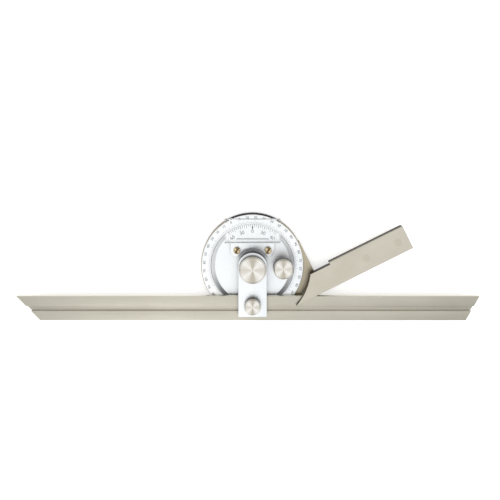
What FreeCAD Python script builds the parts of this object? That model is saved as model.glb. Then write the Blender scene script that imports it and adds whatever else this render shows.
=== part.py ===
import FreeCAD, Part
import math
import os

# Bevel protractor with a circular dial, a vernier under a magnifier, a fixed stock and a sliding blade.
# Origin: pivot axis at the back face. +X runs along the blade, +Y towards the magnifier, +Z out of the dial.
# All sizes are in millimetres and all angles in degrees.

# Base plate
base_rim = 0.6                # beyond the dial ring
base_thickness = 4.2
block_reach = 34.5            # pivot to the square side of the block, along the stock
working_offset = 34.7         # pivot to the working edges of the stock and the blade
gear_floor = 1.0
centre_boss_radius = 12.0

# Stock bar, drawn along its own direction and then turned
stock_angle = 26.35
stock_reach = 98.2            # pivot to the square end
stock_width = 15.8
stock_thickness = 4.0
stock_underside = 6.2
stock_edge_bevel = 0.4
heel_reach = 45.5             # pivot to the end of the thick heel
heel_step = 1.7
foot_set_back = 2.0           # from the heel's step to the foot that carries it
heel_arc_gap = 1.8            # between the turning magnifier and the hollow end of the stock
slot_height_gap = 0.2         # above and below the blade where it passes under the beak
slot_side_gap = 0.3
closing_turn = 6.0            # turn from the drawn position to the smallest angle
plug_radius = 2.25
plug_places = (68.4, 91.2)    # distances along the stock
plug_inset = 7.4              # from the working edge
stock_pin_places = ((35.5, -25.0), (42.0, -29.5))
stock_pin_radius = 1.5
stock_pin_cover = 1.8         # metal left between a pin and the stock's face

# Dial ring
dial_outer_radius = 33.3
dial_width = 6.05
dial_thickness = 1.8

# Fine adjustment gears
ring_gear_teeth = 63
pinion_teeth = 14
pressure_angle = 20.0
dedendum_share = 1.25         # of the module
gear_thickness = 1.5
tooth_backlash = 0.06
ring_gear_rim = 1.3           # outside the tooth roots
gear_seat_gap = 0.35          # between the turret's rim and the wall of its seat
gear_end_gap = 0.2
flank_steps = 1               # straight pieces in each tooth flank

# Centre stud
stud_radius = 3.0
stud_flange_radius = 6.0
stud_flange_height = 1.2
stud_thread_radius = 2.5
stud_thread_length = 3.2

# Turret
turret_edge_gap = 0.1
turret_underside = 2.7
turret_floor = 4.5
rim_land = 0.3
rim_slope_width = 2.1
hub_radius = 8.0
running_gap = 0.05

# Arm over the blade
arm_width = 18.2
arm_end_radius = 9.8
arm_foot = 31.1               # pivot to the square end
arm_underside = 9.2
arm_thickness = 3.0

# Blade
blade_length = 300.0          # along the longer edge
blade_left_reach = 153.0      # pivot to the left tip
blade_width = 15.7
blade_thickness = 2.5
blade_rise = 0.2              # above the dial
blade_left_angle = 45.0
blade_right_angle = 60.0
groove_width = 3.0
groove_depth = 1.2
groove_offset = 8.1           # long edge to the middle of the groove
fence_depth = 3.4
fence_gap = 0.05

# Blade clamp
clamp_offset = 23.6           # pivot to the clamp screw
clamp_screw_radius = 2.0
clamp_knob_radius = 5.3
clamp_knob_height = 3.4
clamp_knob_rise = 0.4
key_width = 8.0
key_length = 9.2
key_height = 1.6
key_gap = 0.1

# Centre knob
centre_knob_radius = 8.65
centre_knob_height = 4.6
centre_washer_radius = 4.4
washer_thickness = 0.4

# Fine adjustment knob
fine_knob_radius = 6.5
fine_knob_top = 15.0
fine_knob_height = 6.4
pinion_shaft_radius = 1.5
bush_sleeve_radius = 2.6
bush_neck_radius = 3.6
bush_end_gap = 0.3

# Knurling on the three knobs
knurl_pitch = 1.5
knurl_depth = 0.35
knob_bevel = 0.5
knob_face_thickness = 1.2

# Vernier plate and its screws
vernier_thickness = 1.6
vernier_cutout_radius = 11.3
vernier_lug_radius = 4.2      # round each screw, to the plate's side
vernier_screw_offset = (10.2, 10.0)
vernier_screw_radius = 1.1
vernier_head_radius = 2.25
vernier_head_height = 1.2
vernier_slot_width = 0.7
vernier_slot_depth = 0.6
vernier_slot_angle = 50.0

# Magnifier
magnifier_half_width = 18.0
magnifier_depth = 15.5
magnifier_set_back = 2.4      # from the dial's outer edge
magnifier_rise = 0.5          # above the dial
magnifier_thickness = 3.7
magnifier_crown = 0.8
magnifier_bevel = 0.4
magnifier_foot_depth = 2.6
magnifier_foot_half_width = 10.4

# Levels and places that follow from the sizes above
base_radius = dial_outer_radius + base_rim
dial_inner_radius = dial_outer_radius - dial_width
dial_top = base_thickness + dial_thickness
blade_bottom = dial_top + blade_rise
blade_top = blade_bottom + blade_thickness
blade_edge = -(working_offset - blade_width)
stock_top = stock_underside + stock_thickness
heel_edge = -(working_offset - stock_width)
foot_edge = heel_edge - heel_step - foot_set_back
turret_radius = dial_inner_radius - turret_edge_gap
arm_top = arm_underside + arm_thickness
washer_top = arm_top + washer_thickness
vernier_top = turret_floor + vernier_thickness
vernier_half_width = vernier_screw_offset[0] + vernier_lug_radius
magnifier_outer = dial_outer_radius - magnifier_set_back
magnifier_inner = magnifier_outer - magnifier_depth
magnifier_bottom = dial_top + magnifier_rise
heel_arc_radius = math.hypot(magnifier_half_width, magnifier_outer) + heel_arc_gap
gear_seat_radius = turret_radius + gear_seat_gap
gear_module = (gear_seat_radius - ring_gear_rim) / (ring_gear_teeth / 2 + dedendum_share)
ring_pitch_radius = gear_module * ring_gear_teeth / 2
pinion_pitch_radius = gear_module * pinion_teeth / 2
pinion_place = ring_pitch_radius - pinion_pitch_radius
tooth_addendum = gear_module
tooth_dedendum = dedendum_share * gear_module
groove_middle = blade_edge - groove_offset
fence_face = blade_edge + fence_gap
fine_knob_bottom = fine_knob_top - fine_knob_height
key_top = blade_top + key_height


def vector(x, y, z=0.0):
    return FreeCAD.Vector(x, y, z)


def cylinder(radius, bottom, top, x=0.0, y=0.0):
    return Part.makeCylinder(radius, top - bottom, vector(x, y, bottom))


def cone(bottom_radius, top_radius, bottom, top, x=0.0, y=0.0):
    return Part.makeCone(bottom_radius, top_radius, top - bottom, vector(x, y, bottom))


def block(x_low, x_high, y_low, y_high, bottom, top):
    return Part.makeBox(x_high - x_low, y_high - y_low, top - bottom, vector(x_low, y_low, bottom))


def prism(corners, bottom, top):
    points = [vector(x, y, bottom) for x, y in corners]
    outline = Part.makePolygon(points + points[:1])
    return Part.Face(outline).extrude(vector(0, 0, top - bottom))


def revolve(profile, x=0.0, y=0.0):
    # profile: (radius, height) corners, turned about a vertical axis
    points = [vector(x + radius, y, height) for radius, height in profile]
    outline = Part.makePolygon(points + points[:1])
    return Part.Face(outline).revolve(vector(x, y, 0), vector(0, 0, 1), 360)


def turned(shape, angle):
    copy = shape.copy()
    copy.rotate(vector(0, 0), vector(0, 0, 1), angle)
    return copy


def along_stock(shape):
    return turned(shape, stock_angle)


def stock_point(along, across):
    # a place given along and across the stock, in the part's own frame
    angle = math.radians(stock_angle)
    x = along * math.cos(angle) - across * math.sin(angle)
    y = along * math.sin(angle) + across * math.cos(angle)
    return x, y


def involute_angle(base_circle, radius):
    if radius <= base_circle:
        return 0.0
    angle = math.acos(base_circle / radius)
    return math.tan(angle) - angle


def gear_outline(teeth, root_radius, tip_radius, thinning):
    # outline of an involute gear with one tooth centred on +X; thinning is taken off each flank
    pitch_radius = gear_module * teeth / 2
    base_circle = pitch_radius * math.cos(math.radians(pressure_angle))
    half_tooth = math.pi / (2 * teeth) - thinning / pitch_radius
    pitch_involute = involute_angle(base_circle, pitch_radius)
    corners = []
    for tooth in range(teeth):
        middle = 2 * math.pi * tooth / teeth
        flank = []
        for step in range(flank_steps + 1):
            radius = root_radius + (tip_radius - root_radius) * step / flank_steps
            half_angle = half_tooth + pitch_involute - involute_angle(base_circle, radius)
            flank.append((radius, half_angle))
        for radius, half_angle in flank:
            corners.append((radius * math.cos(middle - half_angle), radius * math.sin(middle - half_angle)))
        for radius, half_angle in reversed(flank):
            corners.append((radius * math.cos(middle + half_angle), radius * math.sin(middle + half_angle)))
    return corners


def knurled_knob(radius, bottom, top, bore_radius, bore_top, x, y):
    # straight-knurled band under a turned face
    root = radius - knurl_depth
    flutes = round(2 * math.pi * radius / knurl_pitch)
    corners = []
    for flute in range(flutes):
        for share, reach in ((0.0, root), (0.5, radius)):
            angle = 2 * math.pi * (flute + share) / flutes
            corners.append((x + reach * math.cos(angle), y + reach * math.sin(angle)))
    band = prism(corners, bottom, top - knob_bevel)
    face = cone(root, root - knob_bevel, top - knob_bevel, top, x, y)
    bore = cylinder(bore_radius, bottom, bore_top, x, y)
    return band.fuse(face).cut(bore).removeSplitter()


def make_base_plate():
    disc = cylinder(base_radius, 0, base_thickness)
    side = block(0, block_reach, -working_offset, 0, 0, base_thickness)
    foot = block(0, heel_reach, -working_offset, foot_edge, 0, base_thickness)
    plate = disc.fuse([along_stock(side), along_stock(foot)]).removeSplitter()
    recess = cylinder(gear_seat_radius, gear_floor, base_thickness)
    recess = recess.cut(cylinder(centre_boss_radius, gear_floor, turret_underside))
    stud_hole = cylinder(stud_radius, 0, base_thickness)
    stud_seat = cylinder(stud_flange_radius, 0, stud_flange_height)
    return plate.cut([recess, stud_hole, stud_seat] + stock_pin_solids())


def blade_sweep_side(reach):
    # corner places on the blade's long edge at the smallest angle, along and across the stock
    angle = math.radians(closing_turn - stock_angle)
    edge = blade_edge + slot_side_gap
    x = reach * math.cos(angle) - edge * math.sin(angle)
    y = reach * math.sin(angle) + edge * math.cos(angle)
    return x, y


def make_stock_bar():
    bar = block(0, stock_reach, -working_offset, heel_edge, stock_underside, stock_top)
    bar = bar.makeChamfer(stock_edge_bevel, [edge for edge in bar.Edges
                                             if abs(edge.BoundBox.YMin - heel_edge) < 1e-6
                                             and abs(edge.BoundBox.ZMin - stock_top) < 1e-6])
    neck = block(0, heel_reach, -working_offset, foot_edge, base_thickness, stock_underside)
    step = block(0, heel_reach, heel_edge - heel_step, heel_edge, stock_underside, stock_top)
    hollow = cylinder(heel_arc_radius, base_thickness, stock_top)
    near = blade_sweep_side(-stock_reach)
    far = blade_sweep_side(stock_reach)
    below = -2 * stock_reach
    slot = prism([near, far, (far[0], below), (near[0], below)],
                 blade_bottom - slot_height_gap, blade_top + slot_height_gap)
    bar = bar.fuse(neck).cut([step, hollow, slot])
    bar = bar.cut(plug_solids(stock_underside, stock_top)).removeSplitter()
    return along_stock(bar).cut(stock_pin_solids())


def plug_solids(bottom, top):
    across = plug_inset - working_offset
    return [cylinder(plug_radius, bottom, top, place, across) for place in plug_places]


def make_stock_plugs():
    return along_stock(Part.makeCompound(plug_solids(stock_underside, stock_top)))


def stock_pin_solids():
    # pins driven in from the back to hold the stock on the base
    pins = []
    for along, across in stock_pin_places:
        x, y = stock_point(along, across)
        pins.append(cylinder(stock_pin_radius, 0, stock_top - stock_pin_cover, x, y))
    return pins


def make_dial_ring():
    ring = cylinder(dial_outer_radius, base_thickness, dial_top)
    return ring.cut(cylinder(dial_inner_radius, base_thickness, dial_top))


def make_ring_gear():
    rim = cylinder(gear_seat_radius, gear_floor, gear_floor + gear_thickness)
    spaces = gear_outline(ring_gear_teeth, ring_pitch_radius - tooth_addendum,
                          ring_pitch_radius + tooth_dedendum, -tooth_backlash)
    return rim.cut(prism(spaces, gear_floor, gear_floor + gear_thickness))


def make_centre_stud():
    shoulder = washer_top
    return revolve([(0, 0), (stud_flange_radius, 0), (stud_flange_radius, stud_flange_height),
                    (stud_radius, stud_flange_height), (stud_radius, shoulder),
                    (stud_thread_radius, shoulder), (stud_thread_radius, shoulder + stud_thread_length),
                    (0, shoulder + stud_thread_length)])


def make_turret():
    slope_top = turret_radius - rim_land
    disc = revolve([(0, turret_underside), (turret_radius, turret_underside), (turret_radius, dial_top),
                    (slope_top, dial_top), (slope_top - rim_slope_width, turret_floor), (0, turret_floor)])
    hub = cylinder(hub_radius, turret_floor, arm_underside)
    half = arm_width / 2
    seat = block(-half, half, -turret_radius, fence_face, turret_floor, blade_bottom)
    seat = seat.common(cylinder(slope_top, turret_floor, blade_bottom))
    fence = block(-half, half, fence_face, fence_face + fence_depth, turret_floor, arm_underside)
    turret = disc.fuse([hub, seat, fence])
    vernier_bed = block(-vernier_half_width, vernier_half_width, vernier_cutout_radius, dial_outer_radius,
                        turret_floor, dial_top)
    stud_bore = cylinder(stud_radius + running_gap, turret_underside, arm_underside)
    bush_seat = cylinder(bush_sleeve_radius, turret_underside, turret_floor, pinion_place)
    turret = turret.cut([vernier_bed, stud_bore, bush_seat])
    return turret.cut(vernier_screw_solids()).removeSplitter()


def make_arm():
    half = arm_width / 2
    plate = block(-half, half, -arm_foot, arm_end_radius, arm_underside, arm_top)
    end = cylinder(arm_end_radius, arm_underside, arm_top)
    tail = block(-half, half, -arm_foot, 0, arm_underside, arm_top)
    plate = plate.common(end.fuse(tail)).removeSplitter()
    stud_bore = cylinder(stud_radius + running_gap, arm_underside, arm_top)
    screw_hole = cylinder(clamp_screw_radius + running_gap, arm_underside, arm_top, 0, -clamp_offset)
    pocket = key_block(key_gap, arm_underside, key_top + key_gap)
    return plate.cut([stud_bore, screw_hole, pocket])


def key_block(margin, bottom, top):
    middle = (groove_middle - clamp_offset) / 2
    return block(-key_width / 2 - margin, key_width / 2 + margin,
                 middle - key_length / 2 - margin, middle + key_length / 2 + margin, bottom, top)


def make_clamp_key():
    shoe = key_block(0, blade_top + fence_gap, key_top)
    half = groove_width / 2 - key_gap
    tongue = block(-key_width / 2, key_width / 2, groove_middle - half, groove_middle + half,
                   blade_top - groove_depth + key_gap, key_top)
    return shoe.fuse(tongue).removeSplitter()


def make_clamp_screw():
    return cylinder(clamp_screw_radius, key_top, clamp_knob_top() - knob_face_thickness, 0, -clamp_offset)


def clamp_knob_top():
    return arm_top + clamp_knob_rise + clamp_knob_height


def make_clamp_knob():
    top = clamp_knob_top()
    return knurled_knob(clamp_knob_radius, top - clamp_knob_height, top,
                        clamp_screw_radius, top - knob_face_thickness, 0, -clamp_offset)


def make_centre_washer():
    ring = cylinder(centre_washer_radius, arm_top, washer_top)
    return ring.cut(cylinder(stud_radius + running_gap, arm_top, washer_top))


def make_centre_knob():
    top = washer_top + centre_knob_height
    return knurled_knob(centre_knob_radius, washer_top, top, stud_thread_radius + running_gap,
                        top - knob_face_thickness, 0, 0)


def make_blade():
    left = -blade_left_reach
    right = left + blade_length
    lower = -working_offset
    left_run = blade_width / math.tan(math.radians(blade_left_angle))
    right_run = blade_width / math.tan(math.radians(blade_right_angle))
    blade = prism([(left, blade_edge), (left + left_run, lower), (right - right_run, lower), (right, blade_edge)],
                  blade_bottom, blade_top)
    groove = block(left, right, groove_middle - groove_width / 2, groove_middle + groove_width / 2,
                   blade_top - groove_depth, blade_top)
    return blade.cut(groove)


def make_pinion_shaft():
    bottom = gear_floor + gear_end_gap
    teeth = prism(gear_outline(pinion_teeth, pinion_pitch_radius - tooth_dedendum,
                               pinion_pitch_radius + tooth_addendum, tooth_backlash),
                  bottom, turret_underside - gear_end_gap)
    teeth.translate(vector(pinion_place, 0))
    shaft = cylinder(pinion_shaft_radius, bottom, fine_knob_top - knob_face_thickness, pinion_place)
    return teeth.fuse(shaft).removeSplitter()


def make_pinion_bush():
    bore = pinion_shaft_radius + running_gap
    neck_top = fine_knob_bottom - bush_end_gap
    return revolve([(bore, turret_underside), (bush_sleeve_radius, turret_underside),
                    (bush_sleeve_radius, turret_floor), (bush_neck_radius, turret_floor),
                    (bush_neck_radius, neck_top), (bore, neck_top)], pinion_place)


def make_fine_knob():
    return knurled_knob(fine_knob_radius, fine_knob_bottom, fine_knob_top, pinion_shaft_radius,
                        fine_knob_top - knob_face_thickness, pinion_place, 0)


def vernier_screw_solids():
    across, along = vernier_screw_offset
    head_top = vernier_top + vernier_head_height
    screws = []
    for side in (-1, 1):
        x = side * across
        head = cylinder(vernier_head_radius, vernier_top, head_top, x, along)
        shank = cylinder(vernier_screw_radius, turret_underside, vernier_top, x, along)
        slot = block(x - vernier_head_radius, x + vernier_head_radius, along - vernier_slot_width / 2,
                     along + vernier_slot_width / 2, head_top - vernier_slot_depth, head_top)
        slot.rotate(vector(x, along), vector(0, 0, 1), vernier_slot_angle)
        screws.append(head.fuse(shank).removeSplitter().cut(slot))
    return screws


def make_vernier_plate():
    across, along = vernier_screw_offset
    plate = block(-vernier_half_width, vernier_half_width, along, turret_radius, turret_floor, vernier_top)
    lugs = [cylinder(vernier_lug_radius, turret_floor, vernier_top, side * across, along) for side in (-1, 1)]
    plate = plate.fuse(lugs).common(cylinder(turret_radius, turret_floor, vernier_top))
    plate = plate.cut(cylinder(vernier_cutout_radius, turret_floor, vernier_top))
    return plate.cut(vernier_screw_solids()).removeSplitter()


def make_magnifier():
    top = magnifier_bottom + magnifier_thickness
    depth = magnifier_outer - magnifier_inner
    crown_radius = (depth ** 2 / 4 + magnifier_crown ** 2) / (2 * magnifier_crown)
    middle = (magnifier_inner + magnifier_outer) / 2
    lens = block(-magnifier_half_width, magnifier_half_width, magnifier_inner, magnifier_outer,
                 magnifier_bottom, top + magnifier_crown)
    crown = Part.makeCylinder(crown_radius, 2 * magnifier_half_width,
                              vector(-magnifier_half_width, middle, top + magnifier_crown - crown_radius),
                              vector(1, 0))
    lens = lens.common(crown)
    uprights = [edge for edge in lens.Edges if edge.BoundBox.XLength < 1e-6 and edge.BoundBox.YLength < 1e-6]
    lens = lens.makeChamfer(magnifier_bevel, uprights)
    foot = block(-magnifier_foot_half_width, magnifier_foot_half_width, magnifier_inner,
                 magnifier_inner + magnifier_foot_depth, vernier_top, magnifier_bottom)
    return lens.fuse(foot).removeSplitter()


NODES = {
    "base_plate": make_base_plate,
    "stock_bar": make_stock_bar,
    "stock_plugs": make_stock_plugs,
    "stock_pins": lambda: Part.makeCompound(stock_pin_solids()),
    "dial_ring": make_dial_ring,
    "ring_gear": make_ring_gear,
    "centre_stud": make_centre_stud,
    "turret": make_turret,
    "arm": make_arm,
    "clamp_key": make_clamp_key,
    "clamp_screw": make_clamp_screw,
    "clamp_knob": make_clamp_knob,
    "centre_washer": make_centre_washer,
    "centre_knob": make_centre_knob,
    "blade": make_blade,
    "pinion_shaft": make_pinion_shaft,
    "pinion_bush": make_pinion_bush,
    "fine_knob": make_fine_knob,
    "vernier_plate": make_vernier_plate,
    "vernier_screws": lambda: Part.makeCompound(vernier_screw_solids()),
    "magnifier": make_magnifier,
}

os.makedirs("parts", exist_ok=True)
for node_name, make_node in NODES.items():
    shape = make_node()
    shape.exportStep("parts/" + node_name + ".step")
    print(node_name, "solids", len(shape.Solids), "volume", round(shape.Volume, 2), "valid", shape.isValid())
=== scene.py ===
import math
import bpy
import bmesh
from mathutils import Matrix, Vector


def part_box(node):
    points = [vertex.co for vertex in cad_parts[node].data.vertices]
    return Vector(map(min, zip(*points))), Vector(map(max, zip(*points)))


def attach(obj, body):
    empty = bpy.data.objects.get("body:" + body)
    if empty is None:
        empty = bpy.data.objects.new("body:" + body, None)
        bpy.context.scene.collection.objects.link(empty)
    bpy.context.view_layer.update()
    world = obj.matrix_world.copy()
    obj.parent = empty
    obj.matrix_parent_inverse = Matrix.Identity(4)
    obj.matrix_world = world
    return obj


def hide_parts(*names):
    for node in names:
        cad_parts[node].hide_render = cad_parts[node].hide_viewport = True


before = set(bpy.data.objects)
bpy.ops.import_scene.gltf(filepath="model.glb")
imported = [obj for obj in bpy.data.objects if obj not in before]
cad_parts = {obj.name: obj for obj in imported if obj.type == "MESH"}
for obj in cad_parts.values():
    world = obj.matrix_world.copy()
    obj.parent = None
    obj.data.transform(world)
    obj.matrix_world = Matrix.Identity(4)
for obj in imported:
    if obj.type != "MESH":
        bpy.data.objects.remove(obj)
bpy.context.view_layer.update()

mm = 0.001
onAxis = 1e-9  # a radius below this lies on the axis


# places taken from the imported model

def span(node, axis):
    low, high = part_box(node)
    return low[axis], high[axis]


dialTop = span("dial_ring", 2)[1]
dialOuter = span("dial_ring", 0)[1]
bladeLow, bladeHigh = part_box("blade")
print("frame loaded:", len(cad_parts), "nodes")


# mesh helpers

def addObject(name, mesh):
    obj = bpy.data.objects.new(name, mesh)
    bpy.context.scene.collection.objects.link(obj)
    return obj


def finishMesh(name, bm, smoothAngle=35):
    bmesh.ops.recalc_face_normals(bm, faces=bm.faces)
    mesh = bpy.data.meshes.new(name)
    bm.to_mesh(mesh)
    bm.free()
    mesh.shade_smooth()
    mesh.set_sharp_from_angle(angle=math.radians(smoothAngle))
    return addObject(name, mesh)


def easeCorners(points, radius, steps=3):
    # rounds each corner of a closed outline, or leaves it where it is nearly straight
    nearlyStraight = math.radians(20)
    longestCut = 0.45  # share of the edge beside the corner
    eased = []
    count = len(points)
    for index, point in enumerate(points):
        corner = Vector(point)
        before = Vector(points[index - 1]) - corner
        after = Vector(points[(index + 1) % count]) - corner
        turn = math.pi - before.angle(after)
        if turn < nearlyStraight or abs(corner.x) < onAxis:
            eased.append(corner)
            continue
        cut = min(radius * math.tan(turn / 2), longestCut * min(before.length, after.length))
        start = corner + before.normalized() * cut
        end = corner + after.normalized() * cut
        for step in range(steps + 1):
            share = step / steps
            eased.append((1 - share) ** 2 * start + 2 * share * (1 - share) * corner
                         + share ** 2 * end)
    return eased


def makeLathe(name, profile, centre=(0, 0), steps=160, ease=0.0):
    # profile: closed outline of (radius, height)
    outline = easeCorners(profile, ease) if ease else [Vector(point) for point in profile]
    bm = bmesh.new()
    rings = []
    for point in outline:
        if point.x < onAxis:
            rings.append([bm.verts.new((centre[0], centre[1], point.y))])
            continue
        ring = []
        for step in range(steps):
            angle = 2 * math.pi * step / steps
            ring.append(bm.verts.new((centre[0] + point.x * math.cos(angle),
                                      centre[1] + point.x * math.sin(angle), point.y)))
        rings.append(ring)
    for index, ring in enumerate(rings):
        following = rings[(index + 1) % len(rings)]
        if len(ring) == 1 and len(following) == 1:
            continue
        for step in range(steps):
            corners = []
            for vert in (ring[step % len(ring)], ring[(step + 1) % len(ring)],
                         following[(step + 1) % len(following)], following[step % len(following)]):
                if vert not in corners:
                    corners.append(vert)
            bm.faces.new(corners)
    return finishMesh(name, bm)


def extrudeOutline(bm, outline, bottom, top):
    lower = [bm.verts.new((point[0], point[1], bottom)) for point in outline]
    upper = [bm.verts.new((point[0], point[1], top)) for point in outline]
    count = len(outline)
    bm.faces.new(lower)
    bm.faces.new(upper)
    for index in range(count):
        nextIndex = (index + 1) % count
        bm.faces.new((lower[index], lower[nextIndex], upper[nextIndex], upper[index]))


def bevelSharp(bm, width, segments=2, smallestAngle=30):
    bmesh.ops.recalc_face_normals(bm, faces=bm.faces)
    sharp = [edge for edge in bm.edges if len(edge.link_faces) == 2
             and edge.calc_face_angle() > math.radians(smallestAngle)]
    bmesh.ops.bevel(bm, geom=sharp, offset=width, segments=segments, profile=0.6,
                    affect="EDGES", clamp_overlap=True)


def makePrism(name, outline, bottom, top, ease=0.0):
    bm = bmesh.new()
    extrudeOutline(bm, outline, bottom, top)
    if ease:
        bevelSharp(bm, ease)
    return finishMesh(name, bm)


def arcPoints(radius, startAngle, endAngle, steps, centre=(0, 0)):
    points = []
    for step in range(steps + 1):
        angle = math.radians(startAngle + (endAngle - startAngle) * step / steps)
        points.append((centre[0] + radius * math.cos(angle), centre[1] + radius * math.sin(angle)))
    return points


def box(low, high):
    return [(low[0], low[1]), (high[0], low[1]), (high[0], high[1]), (low[0], high[1])]


def placePiece(piece, body, slotName, material, *nodes):
    piece.data.materials.append(material)
    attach(piece, body)
    if nodes:
        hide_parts(*nodes)
    return piece


# shared effects, as node groups

def newGroup(name, inputs, outputs):
    group = bpy.data.node_groups.new(name, "ShaderNodeTree")
    for socketName, kind, value in inputs:
        socket = group.interface.new_socket(name=socketName, in_out="INPUT", socket_type=kind)
        if value is not None:
            socket.default_value = value
    for socketName, kind in outputs:
        group.interface.new_socket(name=socketName, in_out="OUTPUT", socket_type=kind)
    start = group.nodes.new("NodeGroupInput")
    end = group.nodes.new("NodeGroupOutput")
    return group, start, end


def addNode(tree, kind, values=None, **settings):
    node = tree.nodes.new(kind)
    for key, value in settings.items():
        setattr(node, key, value)
    for key, value in (values or {}).items():
        node.inputs[key].default_value = value
    return node


def grainGroup():
    # fine parallel scratches along X, with slow cloudy variation
    group, start, end = newGroup("parallelGrain", [
        ("Vector", "NodeSocketVector", None),
        ("Angle", "NodeSocketFloat", 0.0),
        ("Length", "NodeSocketFloat", 60.0),
        ("Fineness", "NodeSocketFloat", 4000.0)],
        [("Grain", "NodeSocketFloat"), ("Cloud", "NodeSocketFloat")])
    turn = addNode(group, "ShaderNodeVectorRotate", rotation_type="Z_AXIS")
    group.links.new(start.outputs["Vector"], turn.inputs["Vector"])
    group.links.new(start.outputs["Angle"], turn.inputs["Angle"])
    stretch = addNode(group, "ShaderNodeCombineXYZ")
    group.links.new(start.outputs["Length"], stretch.inputs["X"])
    group.links.new(start.outputs["Fineness"], stretch.inputs["Y"])
    group.links.new(start.outputs["Fineness"], stretch.inputs["Z"])
    scaled = addNode(group, "ShaderNodeVectorMath", operation="MULTIPLY")
    group.links.new(turn.outputs["Vector"], scaled.inputs[0])
    group.links.new(stretch.outputs["Vector"], scaled.inputs[1])
    scratches = addNode(group, "ShaderNodeTexNoise",
                        {"Scale": 1.0, "Detail": 4.0, "Roughness": 0.65})
    group.links.new(scaled.outputs["Vector"], scratches.inputs["Vector"])
    cloud = addNode(group, "ShaderNodeTexNoise", {"Scale": 55.0, "Detail": 3.0, "Roughness": 0.5})
    group.links.new(start.outputs["Vector"], cloud.inputs["Vector"])
    group.links.new(scratches.outputs["Fac"], end.inputs["Grain"])
    group.links.new(cloud.outputs["Fac"], end.inputs["Cloud"])
    return group


def spunGroup():
    # turning marks round an axis, with the bright and dark wedges of a painted reflection on a
    # faced disc, and painted glints along its rays
    group, start, end = newGroup("spunFace", [
        ("Vector", "NodeSocketVector", None),
        ("Centre", "NodeSocketVector", None),
        ("Fineness", "NodeSocketFloat", 5000.0)],
        [("Rings", "NodeSocketFloat"), ("PaintedSheen", "NodeSocketFloat")])
    local = addNode(group, "ShaderNodeVectorMath", operation="SUBTRACT")
    group.links.new(start.outputs["Vector"], local.inputs[0])
    group.links.new(start.outputs["Centre"], local.inputs[1])
    parts = addNode(group, "ShaderNodeSeparateXYZ")
    group.links.new(local.outputs["Vector"], parts.inputs["Vector"])
    flat = addNode(group, "ShaderNodeCombineXYZ")
    group.links.new(parts.outputs["X"], flat.inputs["X"])
    group.links.new(parts.outputs["Y"], flat.inputs["Y"])
    radius = addNode(group, "ShaderNodeVectorMath", operation="LENGTH")
    group.links.new(flat.outputs["Vector"], radius.inputs[0])
    fine = addNode(group, "ShaderNodeMath", operation="MULTIPLY")
    group.links.new(radius.outputs["Value"], fine.inputs[0])
    group.links.new(start.outputs["Fineness"], fine.inputs[1])
    rings = addNode(group, "ShaderNodeTexNoise", {"Scale": 1.0, "Detail": 3.0},
                    noise_dimensions="1D")
    group.links.new(fine.outputs["Value"], rings.inputs["W"])
    angle = addNode(group, "ShaderNodeMath", operation="ARCTAN2")
    group.links.new(parts.outputs["Y"], angle.inputs[0])
    group.links.new(parts.outputs["X"], angle.inputs[1])
    # two waves of painted reflection round the axis: how often each comes round, and its height
    waves = []
    for turns, height in ((2.0, 0.224), (4.0, -0.380)):
        times = addNode(group, "ShaderNodeMath", {1: turns}, operation="MULTIPLY")
        group.links.new(angle.outputs["Value"], times.inputs[0])
        wave = addNode(group, "ShaderNodeMath", operation="COSINE")
        group.links.new(times.outputs["Value"], wave.inputs[0])
        scaled = addNode(group, "ShaderNodeMath", {1: height}, operation="MULTIPLY")
        group.links.new(wave.outputs["Value"], scaled.inputs[0])
        waves.append(scaled)
    ray = addNode(group, "ShaderNodeVectorMath", operation="NORMALIZE")
    group.links.new(flat.outputs["Vector"], ray.inputs[0])
    # painted glints along rays out from the axis
    paintedGlintNoise = addNode(group, "ShaderNodeTexNoise", {"Scale": 7.0, "Detail": 3.0, "Roughness": 0.7})
    group.links.new(ray.outputs["Vector"], paintedGlintNoise.inputs["Vector"])
    paintedGlint = addNode(group, "ShaderNodeMapRange", {"From Min": 0.3, "From Max": 0.7, "To Min": 0.39,
                                                  "To Max": 0.82})
    group.links.new(paintedGlintNoise.outputs["Fac"], paintedGlint.inputs["Value"])
    both = addNode(group, "ShaderNodeMath", operation="ADD")
    group.links.new(waves[0].outputs["Value"], both.inputs[0])
    group.links.new(waves[1].outputs["Value"], both.inputs[1])
    total = addNode(group, "ShaderNodeMath", operation="ADD", use_clamp=True)
    group.links.new(both.outputs["Value"], total.inputs[0])
    group.links.new(paintedGlint.outputs["Result"], total.inputs[1])
    group.links.new(rings.outputs["Fac"], end.inputs["Rings"])
    group.links.new(total.outputs["Value"], end.inputs["PaintedSheen"])
    return group


def edgeGroup():
    # how far the rounded normal leaves the true one: high along edges and corners
    group, start, end = newGroup("edgeWearAndHighlight", [
        ("Radius", "NodeSocketFloat", 0.00025),
        ("Amount", "NodeSocketFloat", 1.0)],
        [("Mask", "NodeSocketFloat"), ("Normal", "NodeSocketVector")])
    rounded = addNode(group, "ShaderNodeBevel", samples=4)
    group.links.new(start.outputs["Radius"], rounded.inputs["Radius"])
    geometry = addNode(group, "ShaderNodeNewGeometry")
    compare = addNode(group, "ShaderNodeVectorMath", operation="DOT_PRODUCT")
    group.links.new(rounded.outputs["Normal"], compare.inputs[0])
    group.links.new(geometry.outputs["Normal"], compare.inputs[1])
    amount = addNode(group, "ShaderNodeMapRange", {"From Min": 0.995, "From Max": 0.80})
    group.links.new(compare.outputs["Value"], amount.inputs["Value"])
    scaled = addNode(group, "ShaderNodeMath", operation="MULTIPLY", use_clamp=True)
    group.links.new(amount.outputs["Result"], scaled.inputs[0])
    group.links.new(start.outputs["Amount"], scaled.inputs[1])
    group.links.new(scaled.outputs["Value"], end.inputs["Mask"])
    group.links.new(rounded.outputs["Normal"], end.inputs["Normal"])
    return group


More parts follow.
